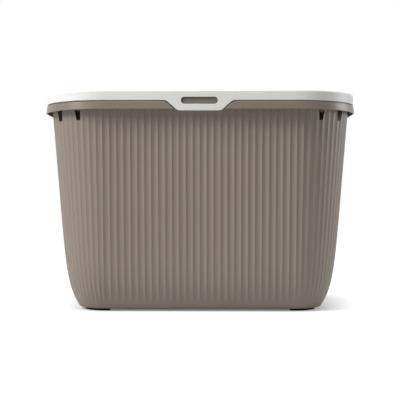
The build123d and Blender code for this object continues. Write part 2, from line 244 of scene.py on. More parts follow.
class PanelSizes(bpy.types.PropertyGroup):
    """Sizes of the tread panel"""

    wall: length("Plate", 2.5, "Thickness of the plate")
    gap: length("Gap", 0.5, "Gap round the panel")
    entry_length: length("Entry length", 232.0, "Length of the entry hole")
    entry_depth: length("Entry depth", 214.0, "Depth of the entry hole, front to back")
    entry_corner: length("Entry corner", 72.0, "Corner radius of the entry hole")
    entry_centre: length("Entry centre", 121.0, "From the middle to the entry hole's centre")
    collar: length("Collar", 5.0, "Width of the collar round the entry hole")
    collar_round: length("Collar round", 1.2, "Round on the collar's top edges")
    rows: count("Slot rows", 4, "Rows of drain slots")
    columns: count("Slot columns", 13, "Drain slots in a row")
    slot_width: length("Slot width", 6.0, "Width of a drain slot")
    slot_length: length("Slot length", 58.0, "Length of a drain slot")
    row_pitch: length("Row pitch", 68.0, "Between rows of slots")
    column_pitch: length("Column pitch", 15.5, "Between the slots of a row")
    slots_centre: length("Slots' centre", 127.0, "From the middle to the slots' centre, the other way")
    tread: length("Tread", 3.0, "Width of a tread and of the panel's rim")
    tread_rise: length("Tread rise", 2.2, "Height of the treads and of the rim")
    rib: length("Rib", 2.0, "Thickness of the ribs below")
    rib_depth: length("Rib depth", 5.0, "Depth of the ribs below")
    rib_gap: length("Rib gap", 1.4, "Gap between the locating rib and the lid's ledge")


class PadSizes(bpy.types.PropertyGroup):
    """Sizes of the rubber pads"""

    radius: length("Pad radius", 42.0, "Outer radius of a pad, round its corner's centre")
    width: length("Pad width", 14.0, "Width of a pad")
    sweep: bpy.props.FloatProperty(
        name="Sweep", default=np.radians(94.0), subtype="ANGLE", description="Angle that a pad takes up"
    )
    pocket: length("Pocket", 1.2, "Depth of the pocket in the tub's base")
    clearance: length("Clearance", 0.3, "Gap round a pad in its pocket")
    edge: length("Edge round", 0.6, "Round on a pad's lower edge")


class PlasticFinishes(bpy.types.PropertyGroup):
    """Colours of the mouldings"""

    # The tub and the rim are one mocha plastic, and these are lit and shaded copies of it: the tub's
    # colour is painted lighter and the rim's darker, standing in for how light falls on the fluted wall
    # and on the band
    tub: colour("Tub", (0.248, 0.209, 0.174), "Mocha of the fluted tub")
    rim: colour("Rim", (0.180, 0.151, 0.125), "Mocha of the rim and its catch")
    lid: colour("Lid", (0.80, 0.79, 0.76), "White of the lid")
    panel: colour("Panel", (0.78, 0.77, 0.74), "White of the tread panel")
    rubber: colour("Rubber", (0.012, 0.012, 0.012), "Black of the pads")


class StudioSettings(bpy.types.PropertyGroup):
    """Lamps, floor and camera"""

    lens: number("Lens", 84.66, "Focal length in mm")
    distance: length("Camera distance", 1665.0, "From the band's front edge to the camera")
    height: length("Camera height", 206.4, "Camera above the floor")
    shift: number("Camera shift", -0.003, "Vertical shift of the lens")
    turn: number("Camera turn", 0.6, "Degrees that the camera goes round the box to the right")
    aside: length("Camera aside", -1.1, "How far the camera stands aside of the box's middle")
    key: power("Key lamp", 40.0, "Power of the lamp at the left")
    fill: power("Fill lamp", 10.5, "Power of the lamp at the right")
    top: power("Top lamp", 18.0, "Power of the lamp above")
    ambient: number("Ambient", 0.01, "Strength of the light from all round")


# ---- surfaces


def smooth_step(value):
    """3t^2 - 2t^3, held at 0 and 1 outside the unit range."""
    t = np.clip(value, 0.0, 1.0)
    return t * t * (3.0 - 2.0 * t)


def quarter(steps):
    """The sine and one less the cosine of a quarter turn, for the round of an edge."""
    turn = np.linspace(0, np.pi / 2, steps + 1)
    return np.sin(turn), 1 - np.cos(turn)


def rounded_section(corners, radii, steps=4):
    """A closed section with its corners rounded.

    corners has shape (..., corner, 2). Each corner becomes a circular arc, written as a rational
    quadratic curve: start, corner and end weighted 1, cos(half the turn) and 1. An arc's legs are
    never longer than a share of the shorter side that meets the corner.
    """
    corners = np.asarray(corners, float)
    back = np.roll(corners, 1, axis=-2) - corners
    ahead = np.roll(corners, -1, axis=-2) - corners
    back_length = np.linalg.norm(back, axis=-1, keepdims=True) + 1e-12
    ahead_length = np.linalg.norm(ahead, axis=-1, keepdims=True) + 1e-12
    back, ahead = back / back_length, ahead / ahead_length
    cosine = np.clip((back * ahead).sum(-1, keepdims=True), -1.0, 1.0)
    half_turn = (np.pi - np.arccos(cosine)) / 2
    leg = np.broadcast_to(np.asarray(radii, float)[:, None], cosine.shape) * np.tan(half_turn)
    leg = np.minimum(leg, LEG_SHARE * np.minimum(back_length, ahead_length))
    start, end = corners + back * leg, corners + ahead * leg
    t = np.linspace(0.0, 1.0, steps + 1)[:, None]
    middle = 2 * np.cos(half_turn)[..., None, :] * t * (1 - t)
    weighted = (1 - t) ** 2 * start[..., None, :] + middle * corners[..., None, :]
    curve = (weighted + t**2 * end[..., None, :]) / ((1 - t) ** 2 + middle + t**2)
    return curve.reshape(corners.shape[:-2] + (-1, 2))


def rounded_path(half, centre, sides, corner):
    """A rectangle walked anticlockwise from its front left corner, as points and directions.

    Straight sides move the point and keep the outward direction, and corners keep the point and
    turn the direction. sides holds the shares of each side's length where there is a point, and
    corner the shares of a quarter turn.
    """
    corners = np.array([[1, -1], [1, 1], [-1, 1], [-1, -1]]) * half
    points, angles = [], []
    for side, share in enumerate(sides):
        start, end = corners[side - 1], corners[side]
        points += [start + share[:, None] * (end - start), np.tile(end, (len(corner), 1))]
        angles += [np.full(len(share), side - 1.0), side - 1.0 + corner]
    angle = np.concatenate(angles) * np.pi / 2
    return np.concatenate(points) + centre, np.column_stack([np.cos(angle), np.sin(angle)])


def plan_half(plan):
    """Half sizes of the rectangle of corner centres."""
    return np.array([RIM_HIGH[0] - plan.rim_radius, plan.half_depth - plan.rim_radius])


def plan_path(plan, front_x):
    """The plan's path, with the places along the front given as lengths from the middle.

    Also returns which of its points face the front.
    """
    half = plan_half(plan)
    front = (np.asarray(front_x) + half[0]) / (2 * half[0])
    points, directions = rounded_path(half, (0, CENTRE_Y), [front, SIDE, SIDE, SIDE], TURN)
    return (points, directions), directions[:, 1] < FRONT


def carried(path, section):
    """A section of (radius, height) carried along the path: point + radius * direction, height."""
    points, directions = path
    section = np.broadcast_to(section, (len(points),) + section.shape[-2:])
    place = points[:, None, :] + section[..., :1] * directions[:, None, :]
    return np.concatenate([place, section[..., 1:]], axis=-1)


def grid_faces(rows, columns, closed_rows=True, closed_columns=True):
    """Quads of a grid of vertices, which may close on itself either way."""
    i = np.arange(rows if closed_rows else rows - 1)[:, None]
    j = np.arange(columns if closed_columns else columns - 1)[None, :]
    i2, j2 = (i + 1) % rows, (j + 1) % columns
    quads = np.stack([i * columns + j, i2 * columns + j, i2 * columns + j2, i * columns + j2], -1)
    return quads.reshape(-1, 4)


def grid_shell(grid, closed_rows=True, closed_columns=True):
    """A shell from a grid of points, with a flat face over each end that doesn't close on itself."""
    rows, columns = grid.shape[:2]
    faces = grid_faces(rows, columns, closed_rows, closed_columns).tolist()
    index = np.arange(rows * columns).reshape(rows, columns)
    if not closed_rows:
        faces += [index[0].tolist(), index[-1, ::-1].tolist()]
    if not closed_columns:
        faces += [index[::-1, 0].tolist(), index[:, -1].tolist()]
    return [(grid.reshape(-1, 3), faces)]


def ring(path, section):
    """A closed section carried round the whole path."""
    return grid_shell(carried(path, section))


def strip(path, section):
    """A closed section carried along an open path, with a flat face at each end."""
    return grid_shell(carried(path, section), closed_rows=False)


def basin(path, radii, heights):
    """Open rows of (radius, height) carried round the path, with flat faces over both ends."""
    rows = np.stack(np.broadcast_arrays(radii, heights), axis=-1)
    return grid_shell(carried(path, rows), closed_columns=False)


def inset(loop, amount):
    """Each point of a closed loop moved to its left, by the mitre of the two sides that meet there."""
    side = np.roll(loop, -1, axis=0) - loop
    side /= np.linalg.norm(side, axis=1, keepdims=True)
    normal = np.column_stack([-side[:, 1], side[:, 0]])
    before = np.roll(normal, 1, axis=0)
    return loop + amount * (normal + before) / (1 + (normal * before).sum(axis=1, keepdims=True))


def stack(loops, insets, heights):
    """Loops piled up into a closed shell: each level has its own inset and height.

    The first loop is the outside, anticlockwise, and the others are holes, clockwise. Points are
    (u, v, w) with w the height, and to_front or to_side turn them upright.
    """
    levels = len(insets)
    shells = []
    for loop in loops:
        places = [inset(loop, amount) for amount in insets]
        rows = [np.column_stack([uv, np.full(len(loop), w)]) for uv, w in zip(places, heights)]
        shells.append(np.stack(rows, axis=1))
    starts = np.cumsum([0] + [len(loop) * levels for loop in loops[:-1]])
    faces = []
    for start, loop in zip(starts, loops):
        faces += (grid_faces(len(loop), levels, closed_columns=False) + start).tolist()
    for level, facing in ((0, -1), (levels - 1, 1)):
        flat = np.concatenate([shell[:, level, :2] for shell in shells])
        index = np.concatenate(
            [start + np.arange(len(shell)) * levels + level for start, shell in zip(starts, shells)]
        )
        outlines = [[Vector(point) for point in shell[:, level]] for shell in shells]
        triangles = np.array(tessellate_polygon(outlines))
        first, second = (flat[triangles[:, k]] - flat[triangles[:, 0]] for k in (1, 2))
        wrong = (first[:, 0] * second[:, 1] - first[:, 1] * second[:, 0]) * facing < 0
        triangles[wrong] = triangles[wrong][:, ::-1]
        faces += index[triangles].tolist()
    return [(np.concatenate([shell.reshape(-1, 3) for shell in shells]), faces)]


def plate(loops, low, high, edge, steps=3):
    """A flat plate whose edges are quarter circles, in inset against height."""
    rise, fall = quarter(steps)
    insets = edge * np.concatenate([1 - rise, fall])
    heights = np.concatenate([low + edge * fall, high - edge * (1 - rise)])
    return stack(loops, insets, heights)


def to_front(parts, y):
    """Turns plates upright to face the front: u is X, v is the height, and w comes out to -Y."""
    return [(np.column_stack([v[:, 0], y - v[:, 2], v[:, 1]]), faces) for v, faces in parts]


def to_side(parts):
    """Turns plates upright across the box: u is Y, v is the height, and w is X."""
    return [(np.column_stack([v[:, 2], v[:, 0], v[:, 1]]), faces) for v, faces in parts]


def circle(radius, centre, start=0.0, sweep=2 * np.pi, steps=28):
    """Points on a circle, anticlockwise; a whole one doesn't repeat its first point."""
    turn = start + np.linspace(0, sweep, steps, endpoint=sweep < 2 * np.pi)
    return np.column_stack([np.cos(turn), np.sin(turn)]) * radius + centre


def stadium(size_u, size_v, centre=(0.0, 0.0), steps=12):
    """A slot's outline: two half circles joined by straight sides, anticlockwise."""
    radius = min(size_u, size_v) / 2
    reach = max(size_u, size_v) / 2 - radius
    arc = circle(radius, (reach, 0.0), -np.pi / 2, np.pi, steps)
    loop = np.concatenate([arc, -arc])
    if size_v > size_u:
        loop = np.column_stack([-loop[:, 1], loop[:, 0]])
    return loop + centre


def rectangle(low_u, high_u, low_v, high_v):
    """A rectangle's four corners, anticlockwise."""
    return np.array([[low_u, low_v], [high_u, low_v], [high_u, high_v], [low_u, high_v]], float)


def turned(profile, centre_y, centre_z, steps=28):
    """A profile of (x, radius) turned round an axis along X: centre + radius * (cos a, sin a)."""
    profile = np.asarray(profile, float)
    angle = np.linspace(0, 2 * np.pi, steps, endpoint=False)[:, None]
    x = np.broadcast_to(profile[:, 0], (steps, len(profile)))
    y = centre_y + profile[:, 1] * np.cos(angle)
    z = centre_z + profile[:, 1] * np.sin(angle)
    return grid_shell(np.stack([x, y, z], axis=-1), closed_columns=False)


# ---- objects


def make_mesh(name, parts):
    """One mesh from a list of (vertices, faces) shells."""
    vertices, faces, start = [], [], 0
    for points, quads in parts:
        vertices.append(points)
        faces += [[corner + start for corner in face] for face in quads]
        start += len(points)
    mesh = bpy.data.meshes.new(name)
    mesh.from_pydata(np.concatenate(vertices).tolist(), [], faces)
    return mesh


def make_piece(name, parts, material, crease=40.0):
    """One object from shells, shaded smooth up to the crease angle in degrees."""
    mesh = make_mesh(name, parts)
    mesh.shade_smooth()
    mesh.set_sharp_from_angle(angle=np.radians(crease))
    mesh.materials.append(material)
    piece = bpy.data.objects.new(name, mesh)
    bpy.context.scene.collection.objects.link(piece)
    return piece


def cut(parts, cutters):
    """Takes closed shells out of others and returns what is left as a shell."""
    body, tool = (bpy.data.objects.new("cut", make_mesh("cut", shells)) for shells in (parts, cutters))
    for item in (body, tool):
        bpy.context.scene.collection.objects.link(item)
    modifier = body.modifiers.new("cut", "BOOLEAN")
    modifier.operation = "DIFFERENCE"
    modifier.solver = "MANIFOLD"
    modifier.object = tool
    result = bpy.data.meshes.new_from_object(body.evaluated_get(bpy.context.evaluated_depsgraph_get()))
    vertices = np.empty(len(result.vertices) * 3)
    result.vertices.foreach_get("co", vertices)
    faces = [list(polygon.vertices) for polygon in result.polygons]
    for item in (body, tool):
        mesh = item.data
        bpy.data.objects.remove(item)
        bpy.data.meshes.remove(mesh)
    bpy.data.meshes.remove(result)
    if not faces:
        raise RuntimeError("A cut left nothing of its shell")
    return [(vertices.reshape(-1, 3), faces)]


def even_normals(piece):
    """Lets the large faces of a shell set its shading, so that its flat faces look flat."""
    modifier = piece.modifiers.new("even normals", "WEIGHTED_NORMAL")
    modifier.keep_sharp = True
    modifier.weight = 80  # 50 is neutral, and more favours large faces


def add_part(name, parts, material, body, node, flat_faces=True):
    """Makes a piece with its material, hangs it on its body and puts it in place of its CAD node."""
    piece = make_piece(name, parts, material)
    if flat_faces:
        even_normals(piece)
    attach(piece, body)
    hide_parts(node)


# ---- finishes


def set_inputs(tree, node, inputs):
    """Sets a node's inputs to values, or links them where the value is another node's output."""
    for name, value in inputs.items():
        if isinstance(value, bpy.types.NodeSocket):
            tree.links.new(value, node.inputs[name])
        else:
            node.inputs[name].default_value = value


def add_node(tree, kind, inputs=None, **settings):
    """Adds a shader node with its settings and inputs."""
    node = tree.nodes.new("ShaderNode" + kind)
    for name, value in settings.items():
        setattr(node, name, value)
    set_inputs(tree, node, inputs or {})
    return node


def moulded_plastic(name, base):
    """Moulded plastic: a fine grain in its bump, and slow drifts in its gloss and its colour."""
    rough, spread, grain, bump, mottle, specular = FINISHES[name]
    material = bpy.data.materials.new(name)
    material.use_nodes = True
    tree = material.node_tree
    place = add_node(tree, "TexCoord").outputs["Object"]

    def noise(size, detail, roughness=0.5):
        """A noise of about the given size in metres."""
        inputs = {"Scale": 1.0 / size, "Detail": detail, "Roughness": roughness, "Vector": place}
        return add_node(tree, "TexNoise", inputs).outputs["Fac"]

    tones = {
        "Factor": noise(COLOUR_DRIFT, detail=3.0),
        "A": (*(channel * (1 - mottle) for channel in base), 1.0),
        "B": (*(channel * (1 + mottle) for channel in base), 1.0),
    }
    drift = add_node(tree, "Mix", tones, data_type="RGBA")
    span = {
        "To Min": rough - spread,
        "To Max": rough + spread,
        "Value": noise(GLOSS_DRIFT, detail=4.0, roughness=0.6),
    }
    gloss = add_node(tree, "MapRange", span)
    texture = {"Strength": 1.0, "Distance": bump, "Height": noise(grain, detail=2.0)}
    relief = add_node(tree, "Bump", texture)
    looks = {
        "Specular IOR Level": specular,
        "Base Color": drift.outputs["Result"],
        "Roughness": gloss.outputs["Result"],
        "Normal": relief.outputs["Normal"],
    }
    set_inputs(tree, tree.nodes["Principled BSDF"], looks)
    return material


# ---- the tub


def ridge_radius(tub, height):
    """Radius of the flutes' ridges: a steady slope, less a belly that grows as a high power."""
    fall = TUB_HIGH[2] - tub.flange - height
    share = fall / (TUB_HIGH[2] - tub.flange - TUB_LOW[2])
    return tub.top_radius - tub.slope * fall - tub.belly * np.clip(share, 0, 1) ** tub.belly_power


def flute_depth(tub, plan):
    """Depth of a flute on the straight sides."""
    return tub.flute_share * 2 * plan_half(plan)[0] / tub.flutes_front


def fluted_path(plan, tub):
    """The plan's path with eight points to a flute, close together at its ridges.

    Also returns each point's hollow, 4 s (1 - s) at the share s of its flute, and its flute's pitch
    at radius zero and per unit of radius.
    """
    half = plan_half(plan)
    share = np.array([0.0, 0.05, 0.17, 0.33, 0.5, 0.67, 0.83, 0.95])
    pitch = 2 * half[0] / tub.flutes_front
    ends = round(2 * half[1] / pitch)
    counts = [tub.flutes_front, ends, tub.flutes_front, ends]
    sides = [((np.arange(flutes)[:, None] + share) / flutes).ravel() for flutes in counts]
    corner = ((np.arange(tub.flutes_corner)[:, None] + share) / tub.flutes_corner).ravel()
    path = rounded_path(half, (0, CENTRE_Y), sides, corner)
    on_side = np.concatenate([np.repeat([1.0, 0.0], [len(side), len(corner)]) for side in sides])
    hollow = np.tile(4 * share * (1 - share), len(on_side) // len(share))
    return path, hollow, pitch * on_side, (1 - on_side) * np.pi / 2 / tub.flutes_corner


def tub_shell(plan, tub):
    """The tub in one closed shell: fluted outside, flange, smooth inside, floor and base.

    At a height z a point lies at ridge(z) less its flute, whose depth is hollow * pitch * share,
    faded by a smooth step near the base. Its ridge is rounded as sqrt(d^2 + e^2) - e.
    """
    path, hollow, pitch, turn_pitch = fluted_path(plan, tub)
    top = TUB_HIGH[2] - tub.flange
    rise, fall = quarter(4)
    base = TUB_LOW[2] + tub.base_round * fall
    # Rows lie close together where the belly turns and the flutes fade, and further apart above
    near, low, middle = tub.flute_full + 7 * MM, 110 * MM, 140 * MM
    levels = [
        np.linspace(TUB_LOW[2] + 2 * tub.base_round, near, 14),
        np.linspace(near + 6 * MM, low, 8),
        np.linspace(middle, top, 9),
    ]
    outer = np.concatenate([base] + levels)
    tuck = np.zeros_like(outer)
    tuck[: len(base)] = tub.base_round * (1 - rise)
    ridge = ridge_radius(tub, outer) - tuck
    fade = smooth_step((outer - tub.flute_start) / (tub.flute_full - tub.flute_start))
    flute = hollow[:, None] * (pitch[:, None] + turn_pitch[:, None] * ridge) * tub.flute_share * fade
    radii = ridge - (np.sqrt(flute**2 + tub.ridge**2) - tub.ridge)

    floor = TUB_LOW[2] + tub.floor
    wall = tub.wall + flute_depth(tub, plan)
    # Inside, rows lie closer together towards the floor
    first_row = top - 60 * MM
    inner = np.concatenate([[top], np.geomspace(first_row, floor + tub.floor_round, 16)])
    curve = floor + tub.floor_round * (1 - rise[1:])
    inside = np.concatenate([[TUB_HIGH[2]], inner, curve])
    cavity = ridge_radius(tub, np.minimum(inside, top)) - wall
    cavity[len(inner) + 1 :] -= tub.floor_round * fall[1:]
    flange = np.full(2, tub.top_radius + tub.flange)
    rest = np.concatenate([flange, cavity])
    heights = np.concatenate([outer, [top, TUB_HIGH[2]], inside])
    rest = np.broadcast_to(rest, (len(hollow), len(rest)))
    return basin(path, np.concatenate([radii, rest], axis=1), heights)


def window_cutters(plan, tub):
    """Long prisms through front and rear corners: upright inner edges, outer edges that flare."""
    half = plan_half(plan)
    high = tub.window_low + tub.window_height
    cutters = []
    for near in (tub.window_near, tub.window_far):
        inner = half[0] + near
        loop = rectangle(inner, inner + tub.window_width, tub.window_low, high)
        loop[2, 0] += tub.window_flare
        for outline in (loop, (loop * [-1, 1])[::-1]):
            reach = plan.half_depth + plan.rim_radius
            cutters += to_front(stack([outline], [0, 0], [-reach, reach]), CENTRE_Y)
    return cutters


def pad_outline(plan, pads, side_x, side_y, clearance):
    """A pad's footprint: an arc round its corner's centre, with round ends."""
    centre = plan_half(plan) * [side_x, side_y] + (0, CENTRE_Y)
    middle = np.arctan2(side_y, side_x)
    start, end = middle - pads.sweep / 2, middle + pads.sweep / 2
    ends = pads.width / 2 + clearance
    line = pads.radius - pads.width / 2
    at_start, at_end = (line * np.array([np.cos(a), np.sin(a)]) + centre for a in (start, end))
    outer = circle(line + ends, centre, start, pads.sweep, steps=30)
    inner = circle(line - ends, centre, start, pads.sweep, steps=30)[::-1]
    far_cap = circle(ends, at_end, end, np.pi, steps=12)[1:-1]
    near_cap = circle(ends, at_start, start + np.pi, np.pi, steps=12)[1:-1]
    return np.concatenate([outer, far_cap, inner, near_cap])


CORNERS = {"front_left": (-1, -1), "front_right": (1, -1), "rear_left": (-1, 1), "rear_right": (1, 1)}


class LITTERBOX_OT_tub(bpy.types.Operator):
    """Build the fluted tub with its windows and pad pockets"""

    bl_idname = "litterbox.tub"
    bl_label = "Fluted Tub"
    bl_options = {"REGISTER", "UNDO"}

    def execute(self, context):
        scene = context.scene
        plan, tub, pads = scene.box_plan, scene.box_tub, scene.box_pads
        cutters = window_cutters(plan, tub)
        for sides in CORNERS.values():
            outline = pad_outline(plan, pads, *sides, pads.clearance)
            cutters += stack([outline], [0, 0], [TUB_LOW[2] - pads.pocket, TUB_LOW[2] + pads.pocket])
        material = moulded_plastic("Mocha tub", scene.box_finishes.tub)
        shell = cut(tub_shell(plan, tub), cutters)
        add_part("fluted_tub", shell, material, "base", "tub", flat_faces=False)
        return {"FINISHED"}


# ---- the rim


def skirt_foot(lid):
    """Height of the lid skirt's lower edge, away from the tab."""
    return LID_LOW[2] + lid.tab_drop


def shoulder_height(plan, lid):
    """Height of the band's shoulder, a joint's gap below the skirt."""
    return skirt_foot(lid) - plan.joint


def tab_edge(lid, x, side_gap, drop):
    """Height of the edge that the tab's sides make, as a function of the distance from the middle.

    From the outside in: level, a quarter-like arc down, a straight slant, an arc back, and level.
    """
    x = np.abs(x)
    wide, narrow = lid.tab_half + side_gap, lid.tab_half_low + side_gap
    high = skirt_foot(lid) - drop
    low = LID_LOW[2] - drop
    slant = np.arctan2(high - low, wide - narrow)
    leg = lid.tab_round * np.tan(slant / 2)
    upper = high - lid.tab_round + np.sqrt(np.maximum(lid.tab_round**2 - (x - wide - leg) ** 2, 0))
    lower = low + lid.tab_round - np.sqrt(np.maximum(lid.tab_round**2 - (x - narrow + leg) ** 2, 0))
    places = [x >= wide + leg, x >= wide - leg * np.cos(slant), x >= narrow + leg * np.cos(slant)]
    heights = [high, upper, high - (wide - x) * np.tan(slant), np.where(x > narrow - leg, lower, low)]
    return np.select(places, heights[:3], heights[3])


def front_places(plan, lid, inner=0.0):
    """Places along the front, close together where the tab's sides curve, from inner outwards."""
    half = plan_half(plan)[0]
    curve_in = max(inner, lid.tab_half_low - lid.tab_round / 2)
    curve_out = lid.tab_half + lid.tab_round / 2
    spans = [(inner, curve_in, 5), (curve_in, curve_out, 44), (curve_out, half, 9)]
    right = np.concatenate(
        [np.linspace(*ends, steps, endpoint=False) for *ends, steps in spans if ends[1] > ends[0]]
    )
    left = np.concatenate([[half], right[::-1]])
    return -left[:-1] if inner == 0.0 else -left, right


def rounded_rows(corners, steps):
    """Rounded sections from corners of (radius, height, round).

    The radius and the height may change along the path, and the round may not.
    """
    columns = [np.stack(np.broadcast_arrays(radius, height), axis=-1) for radius, height, _ in corners]
    rows = np.stack(np.broadcast_arrays(*columns), axis=-2)
    return rounded_section(rows, [corner[2] for corner in corners], steps)


def rim_shell(plan, tub, rim, lid):
    """The rim's upstand, top plate and inner lip in one ring, and its band as an open strip.

    The band's top follows the side of the tab's pocket down to a tip at each side of the tab.
    """
    shoulder = shoulder_height(plan, lid)
    skirt_inside = plan.rim_radius - lid.inset - plan.wall
    path, in_front = plan_path(plan, np.concatenate(front_places(plan, lid)))
    edge = np.where(in_front, tab_edge(lid, path[0][:, 0], rim.tab_gap, plan.joint), shoulder)
    low = np.clip(edge - plan.wall, RIM_LOW[2], shoulder - plan.wall)
    pocket = skirt_inside - rim.catch_gap - rim.catch_stand
    outer = np.where(edge < shoulder, pocket, skirt_inside - rim.skirt_gap)
    top, seat = RIM_HIGH[2], TUB_HIGH[2]
    lip = ridge_radius(tub, seat - tub.flange) - flute_depth(tub, plan) - tub.wall - rim.lip_gap
    lip_foot = seat - rim.lip_depth
    corners = [
        (outer, low, EDGE),
        (outer, top, WIDE_EDGE),
        (lip - plan.wall, top, WIDE_EDGE),
        (lip - plan.wall, lip_foot, WIDE_EDGE),
        (lip, lip_foot, WIDE_EDGE),
        (lip, seat, SOFT_EDGE),
        (outer - plan.wall, seat, SOFT_EDGE),
        (outer - plan.wall, low, EDGE),
    ]
    parts = ring(path, rounded_rows(corners, steps=3))

    left, right = front_places(plan, lid, lid.tab_half + rim.tab_gap - TAB_TIP)
    path, in_front = plan_path(plan, np.concatenate([left, right]))
    path = [np.roll(part, -len(left), axis=0) for part in path]
    in_front = np.roll(in_front, -len(left))
    high = np.where(in_front, tab_edge(lid, path[0][:, 0], rim.tab_gap, plan.joint), shoulder)
    # At its tips the band keeps a sliver of height, so that the corners of its section stay apart
    high = np.maximum(high, RIM_LOW[2] + SMALL)
    step = np.maximum(high - plan.wall, RIM_LOW[2] + SMALL / 5)
    draft = rim.draft / (shoulder - RIM_LOW[2])
    inside = plan.rim_radius - plan.wall
    behind = skirt_inside - rim.skirt_gap - plan.wall + WALL_MERGE
    corners = [
        (plan.rim_radius, RIM_LOW[2], rim.low_round),
        (plan.rim_radius - draft * (high - RIM_LOW[2]), high, rim.high_round),
        (behind, high, 0.0),
        (behind, step, 0.0),
        (inside - draft * (step - RIM_LOW[2]), step, EDGE),
        (inside, RIM_LOW[2], SOFT_EDGE),
    ]
    return parts + strip(path, rounded_rows(corners, steps=4))


def catch_shell(plan, rim, lid):
    """The catch: a stadium plate that stands on the back wall of the tab's pocket."""
    back = plan.half_depth - lid.inset - plan.wall - rim.catch_gap - rim.catch_stand
    outline = stadium(rim.catch_length, rim.catch_height, (0, skirt_foot(lid) - rim.catch_drop))
    return to_front(plate([outline], -EDGE, rim.catch_stand, EDGE), CENTRE_Y - back)


def hook_shells(plan, tub, rim, lid):
    """The hooks: legs outside the tub's wall, curved as it is, with nibs that reach through.

    A leg ends inside the band's top plate, just under its shoulder.
    """
    shoulder = shoulder_height(plan, lid)
    half = plan_half(plan)
    inner = ridge_radius(tub, shoulder) + rim.hook_gap
    outer = inner + rim.hook_wall
    nib_high = tub.window_low + tub.window_height - rim.nib_gap
    nib_low = nib_high - rim.nib_height
    nib = ridge_radius(tub, nib_high + rim.nib_gap) - rim.nib_reach
    parts = []
    for near in (tub.window_near, tub.window_far):
        x = near + rim.hook_side_gap + np.linspace(0, rim.hook_width, 5)
        for radius, high in ((inner, shoulder - 2 * EDGE), (nib, nib_high)):
            outside = np.column_stack([x + half[0], half[1] + np.sqrt(outer**2 - x**2)])
            inside = np.column_stack([x + half[0], half[1] + np.sqrt(radius**2 - x**2)])
            loop = np.concatenate([inside, outside[::-1]])
            for side_x, side_y in CORNERS.values():
                placed = (loop * [side_x, side_y] + (0, CENTRE_Y))[:: side_x * side_y]
                parts += plate([placed], nib_low, high, EDGE, steps=2)
    return parts


def pin_hole(hinge):
    """Outline of the hole for a pin, clockwise."""
    return circle(hinge.pin_radius + hinge.pin_gap, (HINGE_Y, HINGE_Z))[::-1]


def ear_shells(plan, rim, hinge, lid):
    """Two ears for each pin: an eye round the pin, on an arm that runs down into the band."""
    root = CENTRE_Y + plan.half_depth - rim.draft - SOFT_EDGE
    foot = np.array([root, HINGE_Z - hinge.ear_drop])
    reach = np.array([HINGE_Y, HINGE_Z]) - foot
    tangent = np.arctan2(reach[1], reach[0]) - np.arcsin(hinge.ear_radius / np.hypot(*reach))
    tangent -= np.pi / 2
    eye = circle(hinge.ear_radius, (HINGE_Y, HINGE_Z), tangent, np.pi / 2 - tangent, steps=16)
    outline = np.concatenate([[foot], eye, [[root, shoulder_height(plan, lid)]]])
    near = hinge.knuckle_width / 2 + hinge.side_gap
    parts = []
    for x in (-hinge.spacing / 2, hinge.spacing / 2):
        for start in (x - near - hinge.ear_width, x + near):
            ends = start, start + hinge.ear_width
            parts += to_side(plate([outline, pin_hole(hinge)], *ends, EDGE))
    return parts


class LITTERBOX_OT_rim(bpy.types.Operator):
    """Build the rim with its band, catch, hooks and hinge ears"""

    bl_idname = "litterbox.rim"
    bl_label = "Clipped Rim"
    bl_options = {"REGISTER", "UNDO"}

    def execute(self, context):
        scene = context.scene
        plan, tub, rim, lid = scene.box_plan, scene.box_tub, scene.box_rim, scene.box_lid
        parts = rim_shell(plan, tub, rim, lid) + catch_shell(plan, rim, lid)
        parts += hook_shells(plan, tub, rim, lid) + ear_shells(plan, rim, scene.box_hinge, lid)
        material = moulded_plastic("Mocha rim", scene.box_finishes.rim)
        add_part("clipped_rim", parts, material, "base", "rim_frame")
        return {"FINISHED"}


# ---- the lid


def lid_shell(plan, lid):
    """The lid in one ring: skirt, rounded top edge, border, step, ledge and seat rib.

    Along the front the skirt's lower edge follows the tab down and back up.
    """
    path, in_front = plan_path(plan, np.concatenate(front_places(plan, lid)))
    low = np.where(in_front, tab_edge(lid, path[0][:, 0], 0.0, 0.0), skirt_foot(lid))
    outer = plan.rim_radius - lid.inset
    inner = outer - plan.wall
    border, top = outer - lid.border, LID_HIGH[2]
    seat = RIM_HIGH[2] + lid.lift
    ledge, under = seat + plan.wall, top - plan.wall
    rib_out = inner - lid.rib_inset
    corners = [
        (outer, low, 1.2 * MM),
        (outer, top, lid.top_round),
        (border, top, 1.5 * MM),
        (border, ledge, WIDE_EDGE),
        (border - lid.ledge, ledge, 0.6 * MM),
        (border - lid.ledge, seat, SOFT_EDGE),
        (border + plan.wall, seat, 0.5 * MM),
        (border + plan.wall, under, 0.5 * MM),
        (rib_out - lid.rib, under, SOFT_EDGE),
        (rib_out - lid.rib, seat, SOFT_EDGE),
        (rib_out, seat, SOFT_EDGE),
        (rib_out, under, SOFT_EDGE),
        (inner, under, WIDE_EDGE),
        (inner, low, 0.5 * MM),
    ]
    return ring(path, rounded_rows(corners, steps=5))


def slot_cutter(plan, lid):
    """The slot through the tab, flared as a quarter circle at the tab's outer face."""
    middle = 0, skirt_foot(lid) - lid.slot_drop
    outline = stadium(lid.slot_length, lid.slot_height, middle, steps=20)
    rise, fall = quarter(4)
    face = plan.half_depth - lid.inset
    insets = np.concatenate([[0.0], -lid.slot_round * fall, [-lid.slot_round]])
    depths = np.concatenate([[-2 * plan.wall], lid.slot_round * (rise - 1), [plan.wall]])
    return to_front(stack([outline], insets, depths), CENTRE_Y - face)


